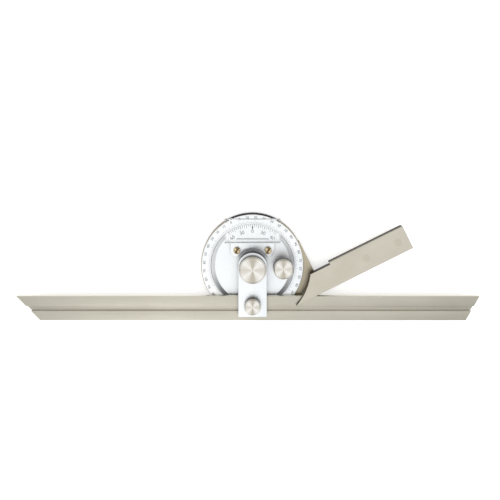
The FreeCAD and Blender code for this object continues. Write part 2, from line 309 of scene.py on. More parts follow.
def sideGroup():
    # Face: 1 on faces that look up or down, 0 on upright walls
    # Far: 1 on walls that look along +Y, where the darkest painted shade goes
    # Slope: 1 on faces tilted about 35 degrees from level
    group, start, end = newGroup("faceOrWall", [
        ("Far From", "NodeSocketFloat", 0.35),
        ("Far To", "NodeSocketFloat", 0.9)],
        [("Face", "NodeSocketFloat"), ("Far", "NodeSocketFloat"), ("Slope", "NodeSocketFloat")])
    geometry = addNode(group, "ShaderNodeNewGeometry")
    parts = addNode(group, "ShaderNodeSeparateXYZ")
    group.links.new(geometry.outputs["True Normal"], parts.inputs["Vector"])
    far = addNode(group, "ShaderNodeMapRange", interpolation_type="SMOOTHSTEP")
    group.links.new(parts.outputs["Y"], far.inputs["Value"])
    group.links.new(start.outputs["Far From"], far.inputs["From Min"])
    group.links.new(start.outputs["Far To"], far.inputs["From Max"])
    group.links.new(far.outputs["Result"], end.inputs["Far"])
    tiltedZ, tiltedMargin = 0.81, 0.09
    lean = addNode(group, "ShaderNodeMath", {1: tiltedZ, 2: tiltedMargin}, operation="COMPARE")
    group.links.new(parts.outputs["Z"], lean.inputs[0])
    group.links.new(lean.outputs["Value"], end.inputs["Slope"])
    size = addNode(group, "ShaderNodeMath", operation="ABSOLUTE")
    group.links.new(parts.outputs["Z"], size.inputs[0])
    spread = addNode(group, "ShaderNodeMapRange", {"From Min": 0.05, "From Max": 0.6},
                     interpolation_type="SMOOTHSTEP")
    group.links.new(size.outputs["Value"], spread.inputs["Value"])
    group.links.new(spread.outputs["Result"], end.inputs["Face"])
    return group


parallelGrain = grainGroup()
spunFace = spunGroup()
edgeWearAndHighlight = edgeGroup()
faceOrWall = sideGroup()
print("node groups ready")


# materials

def useGroup(tree, group, values=None):
    node = tree.nodes.new("ShaderNodeGroup")
    node.node_tree = group
    for key, value in (values or {}).items():
        node.inputs[key].default_value = value
    return node


def newMaterial(name):
    material = bpy.data.materials.new(name)
    material.use_nodes = True
    tree = material.node_tree
    shader = tree.nodes["Principled BSDF"]
    return material, tree, shader


def mixColours(tree, factor, first, second, blend="MIX"):
    # first and second are colours or sockets; the factor is a socket or a number
    mix = tree.nodes.new("ShaderNodeMix")
    mix.data_type = "RGBA"
    mix.blend_type = blend
    for index, value in ((0, factor), (6, first), (7, second)):
        if isinstance(value, bpy.types.NodeSocket):
            tree.links.new(value, mix.inputs[index])
        elif index == 0:
            mix.inputs[index].default_value = value
        else:
            mix.inputs[index].default_value = (*value, 1.0)
    return mix.outputs[2]


def mapValue(tree, value, low, high, fromLow=0.0, fromHigh=1.0):
    node = addNode(tree, "ShaderNodeMapRange",
                   {"From Min": fromLow, "From Max": fromHigh, "To Min": low, "To Max": high})
    tree.links.new(value, node.inputs["Value"])
    return node.outputs["Result"]


def spanOut(tree, parts):
    # distance from the Z axis
    flat = tree.nodes.new("ShaderNodeCombineXYZ")
    tree.links.new(parts.outputs["X"], flat.inputs["X"])
    tree.links.new(parts.outputs["Y"], flat.inputs["Y"])
    length = addNode(tree, "ShaderNodeVectorMath", operation="LENGTH")
    tree.links.new(flat.outputs["Vector"], length.inputs[0])
    return length.outputs["Value"]


shade = {"edgeRadius": 0.2 * mm, "spunFineness": 5000.0, "bumpDepth": 0.04 * mm,
         "cloudRange": (0.35, 0.65), "scratchRange": (0.3, 0.75), "roughRange": (0.3, 0.7),
         "hollowShadeColour": (0.06, 0.055, 0.05), "hollowRange": (0.25, 0.85), "coreRange": (0.3, 1.0),
         "coreFade": 0.6 * mm, "blockFade": 2.0 * mm,
         "slopeRange": (-18.0 * mm, -4.0 * mm), "slopeMetallic": 0.25}


def hollowMask(tree, look, place):
    # painted shade mask: lowest in recesses and inside corners, 1 in the open
    hollow = addNode(tree, "ShaderNodeAmbientOcclusion",
                     {"Distance": look.get("hollowReach", 0.004)}, samples=6)
    mask = mapValue(tree, hollow.outputs["AO"], look.get("hollowShade", 0.5), 1.0,
                    *shade["hollowRange"])
    if "hollowEnd" in look:
        # no shade under the clear block
        clear = mapValue(tree, place.outputs["Y"], 0.0, 1.0,
                         look["hollowEnd"] - shade["blockFade"], look["hollowEnd"])
        most = addNode(tree, "ShaderNodeMath", operation="MAXIMUM")
        tree.links.new(mask, most.inputs[0])
        tree.links.new(clear, most.inputs[1])
        mask = most.outputs["Value"]
    if "coreRadius" in look:
        # the recess round the hub gets deeper painted shade
        core = mapValue(tree, spanOut(tree, place), 1.0, 0.0,
                        look["coreRadius"], look["coreRadius"] + shade["coreFade"])
        darker = addNode(tree, "ShaderNodeMix")
        tree.links.new(core, darker.inputs[0])
        tree.links.new(mask, darker.inputs[2])
        tree.links.new(mapValue(tree, hollow.outputs["AO"], 0.0, 1.0, *shade["coreRange"]),
                       darker.inputs[3])
        mask = darker.outputs[0]
    return mask


def metalMaterial(name, look):
    # look: the tones of the face and its scratches, the painted shade of its walls, the edges' tone
    # (wear and painted highlight), the lowest and highest roughness, and what sets a piece apart,
    # such as its grain or the centre it was turned on
    material, tree, shader = newMaterial(name)
    coords = tree.nodes.new("ShaderNodeTexCoord")
    grain = useGroup(tree, parallelGrain, {"Angle": math.radians(look.get("grainAngle", 0.0)),
                                           "Length": look.get("grainLength", 60.0),
                                           "Fineness": look.get("grainFineness", 4000.0)})
    tree.links.new(coords.outputs["Object"], grain.inputs["Vector"])
    marks = grain.outputs["Grain"]
    clouded = mapValue(tree, grain.outputs["Cloud"], 0.0, 1.0, *shade["cloudRange"])
    colour = mixColours(tree, clouded, look["colour"], look["dark"])
    if "spunCentre" in look:
        spun = useGroup(tree, spunFace, {"Centre": look["spunCentre"],
                                         "Fineness": shade["spunFineness"]})
        tree.links.new(coords.outputs["Object"], spun.inputs["Vector"])
        marks = spun.outputs["Rings"]
        # painted reflection: lighter and darker wedges round the turning centre
        colour = mixColours(tree, spun.outputs["PaintedSheen"], colour, look["paintedSheenColour"])
    contrast = mapValue(tree, marks, 0.0, look.get("grainContrast", 0.25), *shade["scratchRange"])
    scratched = mixColours(tree, contrast, colour, look["scratch"])
    face = useGroup(tree, faceOrWall, {"Far From": look.get("farFrom", 0.35),
                                       "Far To": look.get("farTo", 0.9)})
    # upright walls get a painted tone: painted shade on most pieces, darkest on walls that look
    # along +Y, and a painted highlight on the blade
    wall = mixColours(tree, face.outputs["Far"], look["wall"], look.get("farWallShade", look["wall"]))
    tone = mixColours(tree, face.outputs["Face"], wall, scratched)
    place = tree.nodes.new("ShaderNodeSeparateXYZ")
    tree.links.new(coords.outputs["Object"], place.inputs["Vector"])
    if look.get("hollowShade", 0.5) < 1.0:
        # painted shade in recesses and inside corners
        tone = mixColours(tree, hollowMask(tree, look, place), shade["hollowShadeColour"], tone)
    # painted shade: the face turns near black beyond farStart along Y
    if "farFaceShade" in look:
        far = mapValue(tree, place.outputs["Y"], 0.0, 1.0, look["farStart"], look["farEnd"])
        tone = mixColours(tree, far, tone, look["farFaceShade"])
    wearAndHighlight = useGroup(tree, edgeWearAndHighlight, {"Radius": shade["edgeRadius"],
                                     "Amount": look.get("edgeAmount", 0.6)})
    # edges take a lighter tone: partly wear, partly painted highlight
    tone = mixColours(tree, wearAndHighlight.outputs["Mask"], tone, look["edge"])
    if "slopeColour" in look:
        # painted shade: the disc's sloping wall is darker on the side of the blade
        bladeSide = mapValue(tree, place.outputs["Y"], 1.0, 0.0, *shade["slopeRange"])
        slope = mixColours(tree, bladeSide, look["slopeColour"], look["slopeShade"])
        tone = mixColours(tree, face.outputs["Slope"], tone, slope)
        tree.links.new(mapValue(tree, face.outputs["Slope"], 1.0, shade["slopeMetallic"]),
                       shader.inputs["Metallic"])
    else:
        shader.inputs["Metallic"].default_value = 1.0
    tree.links.new(tone, shader.inputs["Base Color"])
    smoothest, roughest = look["roughness"]
    tree.links.new(mapValue(tree, marks, smoothest, roughest, *shade["roughRange"]),
                   shader.inputs["Roughness"])
    bump = addNode(tree, "ShaderNodeBump",
                   {"Strength": look.get("bump", 0.08), "Distance": shade["bumpDepth"]})
    tree.links.new(marks, bump.inputs["Height"])
    tree.links.new(wearAndHighlight.outputs["Normal"], bump.inputs["Normal"])
    tree.links.new(bump.outputs["Normal"], shader.inputs["Normal"])
    return material


groundSteelLook = {
    "colour": (0.59, 0.56, 0.475), "dark": (0.55, 0.52, 0.435), "scratch": (0.47, 0.44, 0.37),
    "wall": (0.10, 0.09, 0.08), "edge": (0.74, 0.72, 0.64), "roughness": (0.34, 0.48)}
stockLook = {
    **groundSteelLook, "grainAngle": -26.35, "wall": (0.12, 0.10, 0.08),
    "farWallShade": (0.022, 0.014, 0.011), "edgeAmount": 0.2, "hollowShade": 0.9}
plugLook = {
    **stockLook, "colour": (0.56, 0.52, 0.43), "dark": (0.52, 0.48, 0.39), "grainAngle": 20.0}
bladeLook = {
    **groundSteelLook, "colour": (0.545, 0.52, 0.445), "dark": (0.52, 0.495, 0.42),
    "wall": (0.78, 0.75, 0.66), "hollowShade": 0.72, "hollowReach": 0.003}
# painted shade: the base plate is a darker, browner copy of the ground steel
shadedBaseLook = {
    **groundSteelLook, "colour": (0.48, 0.425, 0.315), "dark": (0.43, 0.38, 0.28),
    "wall": (0.16, 0.14, 0.11), "farWallShade": (0.008, 0.005, 0.006), "farFrom": 0.80, "farTo": 0.91,
    "farFaceShade": (0.010, 0.006, 0.007), "farStart": 0.0280, "farEnd": 0.0305,
    "grainAngle": -26.35, "edgeAmount": 0.15, "hollowShade": 0.88}
chromeLook = {
    "colour": (0.88, 0.905, 0.915), "dark": (0.84, 0.87, 0.885), "scratch": (0.78, 0.80, 0.82),
    "wall": (0.20, 0.20, 0.20), "farWallShade": (0.02, 0.023, 0.026), "edge": (0.97, 0.97, 0.97),
    "roughness": (0.34, 0.50), "hollowShade": 0.62, "hollowReach": 0.0025,
    "grainFineness": 2600.0, "grainLength": 2600.0, "bump": 0.05}
discLook = {
    **chromeLook, "slopeColour": (0.92, 0.94, 0.94), "slopeShade": (0.16, 0.17, 0.17),
    "hollowEnd": 0.0150, "coreRadius": 0.0113, "hollowReach": 0.003, "hollowShade": 0.68}
plateLook = {**chromeLook, "colour": (0.93, 0.94, 0.94), "hollowShade": 1.0}
ringLook = {
    **chromeLook, "colour": (0.93, 0.935, 0.93), "wall": (0.30, 0.27, 0.21),
    "farWallShade": (0.008, 0.005, 0.006), "farFrom": 0.80, "farTo": 0.91, "edgeAmount": 0.2,
    "hollowShade": 1.0}
knobLook = {
    "colour": (0.46, 0.42, 0.35), "dark": (0.43, 0.39, 0.32), "scratch": (0.50, 0.47, 0.40),
    "paintedSheenColour": (0.83, 0.82, 0.78), "wall": (0.045, 0.04, 0.035), "edge": (0.62, 0.59, 0.52),
    "edgeAmount": 0.35, "roughness": (0.26, 0.40), "grainContrast": 0.35}
screwLook = {**groundSteelLook, "colour": (0.50, 0.49, 0.46), "dark": (0.42, 0.41, 0.38)}
brassLook = {
    "colour": (0.16, 0.10, 0.045), "dark": (0.13, 0.08, 0.035), "scratch": (0.30, 0.21, 0.10),
    "paintedSheenColour": (0.72, 0.60, 0.38), "wall": (0.05, 0.035, 0.02), "edge": (0.66, 0.52, 0.30),
    "edgeAmount": 0.4, "roughness": (0.22, 0.36), "hollowShade": 0.2, "hollowReach": 0.0012}
# painted shade: the head under the slotted cap, seen as the slot's floor, is near-black brass
slotShadeLook = {**brassLook, "colour": (0.10, 0.07, 0.03), "dark": (0.06, 0.04, 0.02)}

groundSteel = metalMaterial("groundSteel", groundSteelLook)
stockSteel = metalMaterial("stockSteel", stockLook)
plugSteel = metalMaterial("plugSteel", plugLook)
bladeSteel = metalMaterial("bladeSteel", bladeLook)
shadedBaseSteel = metalMaterial("shadedBaseSteel", shadedBaseLook)
satinChrome = metalMaterial("satinChrome", chromeLook)
discChrome = metalMaterial("discChrome", discLook)
plateChrome = metalMaterial("plateChrome", plateLook)
ringChrome = metalMaterial("ringChrome", ringLook)
screwSteel = metalMaterial("screwSteel", screwLook)
slotShadeBrass = metalMaterial("slotShadeBrass", slotShadeLook)


def knobMaterial(name, centre):
    # painted reflection: the darkest wedges of a turned face lie along Y, the fainter ones along X
    return metalMaterial(name, {**knobLook, "spunCentre": tuple(centre)})


def paintMaterial(name, colour):
    # matt filling in engraved marks
    material, tree, shader = newMaterial(name)
    coords = tree.nodes.new("ShaderNodeTexCoord")
    speckle = addNode(tree, "ShaderNodeTexNoise", {"Scale": 1800.0, "Detail": 2.0})
    tree.links.new(coords.outputs["Object"], speckle.inputs["Vector"])
    dustGain, dustLift = 1.8, 0.01
    dusty = [part * dustGain + dustLift for part in colour]
    tree.links.new(mixColours(tree, speckle.outputs["Fac"], colour, dusty),
                   shader.inputs["Base Color"])
    tree.links.new(mapValue(tree, speckle.outputs["Fac"], 0.45, 0.7), shader.inputs["Roughness"])
    bump = addNode(tree, "ShaderNodeBump", {"Strength": 0.1, "Distance": 0.00002})
    tree.links.new(speckle.outputs["Fac"], bump.inputs["Height"])
    tree.links.new(bump.outputs["Normal"], shader.inputs["Normal"])
    return material


def glassMaterial(name):
    material, tree, shader = newMaterial(name)
    coords = tree.nodes.new("ShaderNodeTexCoord")
    cloud = addNode(tree, "ShaderNodeTexNoise", {"Scale": 120.0, "Detail": 2.0})
    tree.links.new(coords.outputs["Object"], cloud.inputs["Vector"])
    clear = mixColours(tree, cloud.outputs["Fac"], (0.985, 0.99, 0.99), (1.0, 1.0, 1.0))
    face = useGroup(tree, faceOrWall)
    # painted shade on the block's upright walls
    wallTone = (0.10, 0.10, 0.10)
    tree.links.new(mixColours(tree, face.outputs["Face"], wallTone, clear),
                   shader.inputs["Base Color"])
    tree.links.new(mapValue(tree, cloud.outputs["Fac"], 0.0, 0.04), shader.inputs["Roughness"])
    shader.inputs["Transmission Weight"].default_value = 1.0
    shader.inputs["IOR"].default_value = 1.49
    # light from the lamps passes straight through to the plate underneath
    path = tree.nodes.new("ShaderNodeLightPath")
    soft = path.outputs["Is Shadow Ray"]
    for kind in ("Is Diffuse Ray", "Is Glossy Ray"):
        more = addNode(tree, "ShaderNodeMath", operation="MAXIMUM")
        tree.links.new(soft, more.inputs[0])
        tree.links.new(path.outputs[kind], more.inputs[1])
        soft = more.outputs["Value"]
    tree.links.new(mapValue(tree, soft, 0.9, 0.06), shader.inputs["Alpha"])
    return material


markBlack = paintMaterial("markBlack", (0.02, 0.02, 0.022))
markGrey = paintMaterial("markGrey", (0.11, 0.11, 0.12))
clearGlass = glassMaterial("clearGlass")
print("materials ready")


# dial ring with its graduations

dial = {"ease": 0.10 * mm, "bevel": 0.3 * mm, "zeroAngle": 116.35, "tickWidth": 0.08 * mm,
        "tickStart": 0.3 * mm, "shortTick": 1.2 * mm, "middleTick": 1.7 * mm, "longTick": 2.3 * mm,
        "numeralHeight": 1.7 * mm, "numeralPlace": 4.2 * mm, "markHeight": 0.015 * mm}


def dialInnerRadius():
    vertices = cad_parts["dial_ring"].data.vertices
    return min(math.hypot(vert.co.x, vert.co.y) for vert in vertices)


ringInner = dialInnerRadius()


def buildDialRing():
    low, high = span("dial_ring", 2)
    profile = [(ringInner, low), (dialOuter, low), (dialOuter, high - dial["bevel"]),
               (dialOuter - dial["bevel"], high), (ringInner, high)]
    ring = makeLathe("dialRing", profile, steps=256, ease=dial["ease"])
    placePiece(ring, "base", "satin_chrome", ringChrome, "dial_ring")


def addRadialBar(bm, angle, innerRadius, outerRadius, width, bottom, top):
    along = Vector((math.cos(angle), math.sin(angle)))
    across = Vector((-along.y, along.x)) * width / 2
    corners = [along * innerRadius - across, along * outerRadius - across,
               along * outerRadius + across, along * innerRadius + across]
    extrudeOutline(bm, corners, bottom, top)


def addNumeral(bm, text, height, radius, angle, bottom, top):
    # a number standing on the inner side of its circle, read from outside
    curve = bpy.data.curves.new("numeral", "FONT")
    curve.body = text
    sizeOverHeight = 1.4
    curve.size = height * sizeOverHeight
    curve.align_x = "CENTER"
    curve.align_y = "CENTER"
    curve.resolution_u = 3
    curve.extrude = (top - bottom) / 2
    holder = addObject("numeral", curve)
    bpy.context.view_layer.update()
    evaluated = holder.evaluated_get(bpy.context.evaluated_depsgraph_get())
    mesh = bpy.data.meshes.new_from_object(evaluated)
    place = (Matrix.Rotation(angle - math.pi / 2, 4, "Z")
             @ Matrix.Translation((0, radius, (bottom + top) / 2)))
    mesh.transform(place)
    bm.from_mesh(mesh)
    bpy.data.objects.remove(holder)
    bpy.data.meshes.remove(mesh)
    bpy.data.curves.remove(curve)


def buildDialMarks():
    ticks = bmesh.new()
    numerals = bmesh.new()
    bottom = dialTop - dial["markHeight"]
    top = dialTop + dial["markHeight"]
    for degree in range(360):
        angle = math.radians(dial["zeroAngle"] - degree)
        length = dial["longTick"] if degree % 10 == 0 else (
            dial["middleTick"] if degree % 5 == 0 else dial["shortTick"])
        start = ringInner + dial["tickStart"]
        addRadialBar(ticks, angle, start, start + length, dial["tickWidth"], bottom, top)
        if degree % 10 == 0:
            reading = degree % 180
            number = reading if reading <= 90 else 180 - reading
            addNumeral(numerals, str(number), dial["numeralHeight"],
                       ringInner + dial["numeralPlace"], angle, bottom, top)
    placePiece(finishMesh("dialTicks", ticks), "base", "satin_chrome", markGrey)
    placePiece(finishMesh("dialNumerals", numerals), "base", "satin_chrome", markBlack)


buildDialRing()
buildDialMarks()
print("dial ready")


# turret disc, hub and blade seat

turret = {"gap": 0.26 * mm, "ease": 0.10 * mm, "land": 0.25 * mm, "slope": 2.1 * mm,
          "floor": 4.5 * mm, "hubRadius": 8.0 * mm, "seatLow": -24.3 * mm, "seatEase": 0.1 * mm,
          "fenceGap": 0.05 * mm, "fenceReach": 3.4 * mm}


def buildTurret():
    low = span("turret", 2)[0]
    outer = ringInner - turret["gap"]
    inner = ringInner - turret["gap"] - turret["land"] - turret["slope"]
    profile = [(0, low), (outer, low), (outer, dialTop), (outer - turret["land"], dialTop),
               (inner, turret["floor"]), (0, turret["floor"])]
    disc = makeLathe("turretDisc", profile, steps=256, ease=turret["ease"])
    placePiece(disc, "turret_group", "satin_chrome", discChrome, "turret")
    hubTop = span("turret", 2)[1]
    hubProfile = [(0, turret["floor"]), (turret["hubRadius"], turret["floor"]),
                  (turret["hubRadius"], hubTop), (0, hubTop)]
    hub = makeLathe("turretHub", hubProfile, steps=96, ease=turret["ease"])
    placePiece(hub, "turret_group", "satin_chrome", satinChrome, "turret")
    armLow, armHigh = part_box("arm")
    seat = box((armLow.x, turret["seatLow"]), (armHigh.x, bladeHigh.y))
    fence = box((armLow.x, bladeHigh.y + turret["fenceGap"]),
                (armHigh.x, bladeHigh.y + turret["fenceReach"]))
    for name, outline, top in (("bladeSeat", seat, bladeLow.z), ("bladeFence", fence, hubTop)):
        placePiece(makePrism(name, outline, turret["floor"], top, turret["seatEase"]),
                   "turret_group", "satin_chrome", satinChrome, "turret")


buildTurret()


# arm

arm = {"ease": 0.25 * mm, "endRadius": 9.8 * mm, "endSteps": 48, "footEase": 0.6 * mm,
       "footSteps": 5}


def buildArm():
    low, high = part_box("arm")
    half = high.x
    startAngle = math.degrees(math.acos(half / arm["endRadius"]))
    outline = arcPoints(arm["endRadius"], startAngle, 180 - startAngle, arm["endSteps"])
    corner = arm["footEase"]
    steps = arm["footSteps"]
    outline += arcPoints(corner, 180, 270, steps, (-half + corner, low.y + corner))
    outline += arcPoints(corner, 270, 360, steps, (half - corner, low.y + corner))
    piece = makePrism("armPlate", outline, low.z, high.z, arm["ease"])
    placePiece(piece, "turret_group", "satin_chrome", satinChrome, "arm")


buildArm()
print("turret and arm ready")


# knobs

knobs = {"pitch": 1.5 * mm, "depth": 0.35 * mm, "bevel": 0.5 * mm, "faceEase": 0.12 * mm,
         "crestDrop": 0.06 * mm, "crestFrom": 0.22, "crestTo": 0.78, "crestAngle": 20,
         "bandOverlap": 1.5, "faceSteps": 128, "collarSteps": 96}


def buildKnob(name, node, body):
    low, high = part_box(node)
    centre = (low + high) / 2
    radius = (high.x - low.x) / 2
    root = radius - knobs["depth"]
    flutes = round(2 * math.pi * radius / knobs["pitch"])
    bevel = knobs["bevel"]
    hidden = knobs["bandOverlap"] * bevel
    shoulder = radius - knobs["crestDrop"]
    fluteShape = ((0.0, root), (knobs["crestFrom"], shoulder), (0.5, radius),
                  (knobs["crestTo"], shoulder))
    bm = bmesh.new()
    corners = []
    for flute in range(flutes):
        for share, reach in fluteShape:
            angle = 2 * math.pi * (flute + share) / flutes
            corners.append((centre.x + reach * math.cos(angle), centre.y + reach * math.sin(angle)))
    extrudeOutline(bm, corners, low.z + bevel, high.z - bevel)
    band = finishMesh(name + "Knurl", bm, knobs["crestAngle"])
    upper = [(0, high.z - hidden), (root, high.z - hidden), (root, high.z - bevel),
             (root - bevel, high.z), (0, high.z)]
    face = makeLathe(name + "Face", upper, (centre.x, centre.y), knobs["faceSteps"],
                     knobs["faceEase"])
    lower = [(0, low.z), (root - bevel, low.z), (root, low.z + bevel),
             (root, low.z + hidden), (0, low.z + hidden)]
    collar = makeLathe(name + "Collar", lower, (centre.x, centre.y), knobs["collarSteps"],
                       knobs["faceEase"])
    material = knobMaterial(name + "Steel", centre)
    for piece in (band, face, collar):
        placePiece(piece, body, "knob_steel", material, node)


buildKnob("centreKnob", "centre_knob", "centre_clamp")
buildKnob("fineKnob", "fine_knob", "fine_adjuster")
buildKnob("clampKnob", "clamp_knob", "blade_clamp")
print("knobs ready")


# blade

blade = {"ease": 0.14 * mm, "leftRun": 15.7 * mm, "rightRun": 9.06 * mm,
         "grooveWidth": 3.0 * mm, "grooveDepth": 1.2 * mm, "groovePlace": 8.1 * mm}


def buildBlade():
    low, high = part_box("blade")
    grooveTop = high.y - blade["groovePlace"] + blade["grooveWidth"] / 2
    grooveFoot = grooveTop - blade["grooveWidth"]
    floor = high.z - blade["grooveDepth"]
    section = [(low.y, low.z), (high.y, low.z), (high.y, high.z), (grooveTop, high.z),
               (grooveTop, floor), (grooveFoot, floor), (grooveFoot, high.z), (low.y, high.z)]
    bm = bmesh.new()
    ends = []
    for side in (0, 1):
        ring = []
        for y, z in section:
            share = (high.y - y) / (high.y - low.y)
            if side == 0:
                x = low.x + blade["leftRun"] * share
            else:
                x = high.x - blade["rightRun"] * share
            ring.append(bm.verts.new((x, y, z)))
        ends.append(ring)
    count = len(section)
    bm.faces.new(ends[0])
    bm.faces.new(ends[1])
    for index in range(count):
        nextIndex = (index + 1) % count
        bm.faces.new((ends[0][index], ends[0][nextIndex], ends[1][nextIndex], ends[1][index]))
    bevelSharp(bm, blade["ease"])
    piece = finishMesh("bladeRule", bm)
    placePiece(piece, "blade_slide", "blade_steel", bladeSteel, "blade")


buildBlade()
print("blade ready")


# vernier plate, its marks and its screws

vernier = {"ease": 0.15 * mm, "gap": 0.03 * mm, "wideHalf": 17.6 * mm, "shoulder": 15.9 * mm,
           "cutout": 11.3 * mm, "lugRadius": 4.2 * mm, "lugEnd": 300, "rimSteps": 40,
           "lugSteps": 24, "division": 35.0 / 12, "divisions": 12, "longEvery": 3,
           "numeralEvery": 6, "minutes": 5, "tickWidth": 0.22 * mm, "tickGap": 0.1 * mm,
           "tickStart": 0.1 * mm, "shortTick": 1.4 * mm, "longTick": 2.1 * mm,
           "numeralHeight": 2.3 * mm, "numeralRadius": 22.7 * mm,
           "zeroMark": (24.3 * mm, 25.9 * mm, 0.75 * mm),
           "footShadowLine": (10.4 * mm, 18.0 * mm, 0.45 * mm),
           "markHeight": 0.015 * mm}


def buildVernierPlate():
    low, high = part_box("vernier_plate")
    half = high.x
    outer = ringInner - vernier["gap"]
    wide = vernier["wideHalf"]
    rim = math.degrees(math.acos(wide / outer))
    outline = arcPoints(outer, rim, 180 - rim, vernier["rimSteps"])
    outline += [(-wide, vernier["shoulder"]), (-half, vernier["shoulder"])]
    lug = vernier["lugRadius"]
    centreX = half - lug
    centreY = low.y + lug
    lugArc = arcPoints(lug, 180, vernier["lugEnd"], vernier["lugSteps"], (-centreX, centreY))
    leftLug = [point for point in lugArc if math.hypot(*point) > vernier["cutout"]]
    lastLeft = leftLug[-1]
    cutoutAngle = math.degrees(math.atan2(lastLeft[1], -lastLeft[0]))
    outline += leftLug
    outline += arcPoints(vernier["cutout"], 180 - cutoutAngle, cutoutAngle,
                         vernier["rimSteps"])[1:-1]
    outline += [(-x, y) for x, y in reversed(leftLug)]
    outline += [(half, vernier["shoulder"]), (wide, vernier["shoulder"])]
    piece = makePrism("vernierPlate", outline, low.z, high.z, vernier["ease"])
    placePiece(piece, "turret_group", "satin_chrome", plateChrome, "vernier_plate")


def buildVernierMarks():
    face = span("vernier_plate", 2)[1]
    bottom = face - vernier["markHeight"]
    top = face + vernier["markHeight"]
    outer = ringInner - vernier["tickGap"] - vernier["tickStart"]
    bm = bmesh.new()
    for division in range(-vernier["divisions"], vernier["divisions"] + 1):
        angle = math.radians(90 + division * vernier["division"])
        long = division % vernier["longEvery"] == 0
        length = vernier["longTick"] if long else vernier["shortTick"]
        addRadialBar(bm, angle, outer - length, outer, vernier["tickWidth"], bottom, top)
        if division % vernier["numeralEvery"] == 0:
            addNumeral(bm, str(abs(division) * vernier["minutes"]), vernier["numeralHeight"],
                       vernier["numeralRadius"], angle, bottom, top)
    foot, tip, width = vernier["zeroMark"]
    addRadialBar(bm, math.pi / 2, foot, tip, width, bottom, top)
    # painted shadow: a dark line along the back of the magnifier's foot
    half, place, width = vernier["footShadowLine"]
    line = box((-half, place - width / 2), (half, place + width / 2))
    extrudeOutline(bm, line, bottom, top)
    placePiece(finishMesh("vernierMarks", bm), "turret_group", "satin_chrome", markBlack)


screws = {"slotHalf": 0.35 * mm, "slotDepth": 0.6 * mm, "slotAngle": 50.0, "arcSteps": 24,
          "capEase": 0.12 * mm, "headEase": 0.05 * mm, "headSteps": 48}


def buildVernierScrews():
    low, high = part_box("vernier_screws")
    radius = (high.y - low.y) / 2
    centreY = (high.y + low.y) / 2
    seat = span("vernier_plate", 2)[1]
    slotFloor = high.z - screws["slotDepth"]
    start = math.degrees(math.asin(screws["slotHalf"] / radius))
    arc = arcPoints(radius, start, 180 - start, screws["arcSteps"])
    turn = Matrix.Rotation(math.radians(screws["slotAngle"]), 2)
    for side, name in ((-1, "left"), (1, "right")):
        centreX = side * (high.x - radius)
        bm = bmesh.new()
        for half in (-1, 1):
            # each half of the slotted head is a segment of the disc
            outline = [turn @ Vector((x, half * y)) + Vector((centreX, centreY)) for x, y in arc]
            extrudeOutline(bm, outline, slotFloor, high.z)
        bevelSharp(bm, screws["capEase"])
        cap = finishMesh(name + "ScrewCap", bm)
        brass = metalMaterial(name + "Brass", {**brassLook, "spunCentre": (centreX, centreY, 0.0)})
        profile = [(0, seat), (radius, seat), (radius, slotFloor), (0, slotFloor)]
        head = makeLathe(name + "ScrewHead", profile, (centreX, centreY), screws["headSteps"],
                         screws["headEase"])
        placePiece(cap, "turret_group", "screw_brass", brass, "vernier_screws")
        placePiece(head, "turret_group", "screw_brass", slotShadeBrass, "vernier_screws")


buildVernierPlate()
buildVernierMarks()
buildVernierScrews()
print("vernier ready")


# magnifier

magnifier = {"ease": 0.3 * mm, "crown": 0.8 * mm, "footDepth": 2.6 * mm, "footHalf": 10.4 * mm,
             "footGap": 0.03 * mm, "border": 2.4 * mm, "step": 0.3 * mm, "slant": 0.15 * mm,
             "steps": 24, "rise": 0.5 * mm, "smoothAngle": 25, "weld": 1e-6, "sliver": 1e-7,
             "lineHeight": 1.1 * mm, "lineDepth": 0.12 * mm, "lineInset": 0.03 * mm}


def magnifierTop(x, y, low, high):
    # a flat border with a raised, crowned window
    flat = high.z - magnifier["crown"]
    edge = min(x - low.x, high.x - x, y - low.y, high.y - y)
    if edge < magnifier["ease"] / 2:
        return flat - magnifier["ease"]
    near = low.y + magnifier["border"] + magnifier["slant"]
    inside = min(x - low.x, high.x - x) > magnifier["border"] + magnifier["slant"] / 2
    if not inside or y < near - magnifier["slant"] / 2:
        return flat
    share = (y - near) / (high.y - near)
    bulge = (magnifier["crown"] - magnifier["step"]) * (1 - (2 * share - 1) ** 2)
    return flat + magnifier["step"] + bulge


